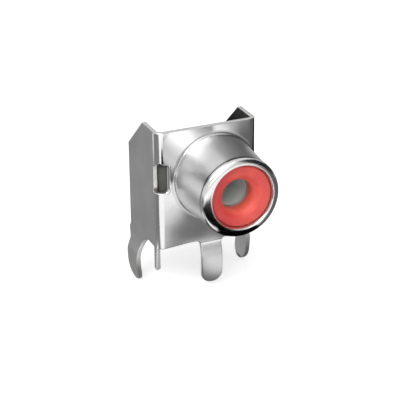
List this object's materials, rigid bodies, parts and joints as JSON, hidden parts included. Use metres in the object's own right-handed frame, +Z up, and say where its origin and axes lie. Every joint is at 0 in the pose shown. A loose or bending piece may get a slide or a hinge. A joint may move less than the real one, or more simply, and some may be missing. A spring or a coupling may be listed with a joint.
{
  "type": "rca panel socket",
  "caption": "Right-angle phono socket: a drawn barrel with a rolled lip on a folded sheet-metal bracket with snap-in board legs, and a coloured insulator round the centre contact.",
  "frame": {"origin": "on the board's top face, under the barrel's axis, in the plane of the front plate's outer face", "axes": "-Y along the barrel's axis towards its mouth, +Z up from the board, +X to the right as seen from behind the barrel's mouth looking along +Y"},
  "size_m": [0.0131, 0.0142, 0.0179],
  "materials": {
    "plated_sheet": "bright tin or nickel plated steel sheet, soft mirror reflections",
    "red_moulding": "moulded plastic, satin",
    "black_moulding": "moulded plastic, dull",
    "tinned_contact": "tin plated spring strip"
  },
  "bodies": {
    "root": {"shell": "plated_sheet", "front_insulator": "red_moulding", "rear_body": "black_moulding", "centre_contact": "tinned_contact"}
  },
  "joints": []
}
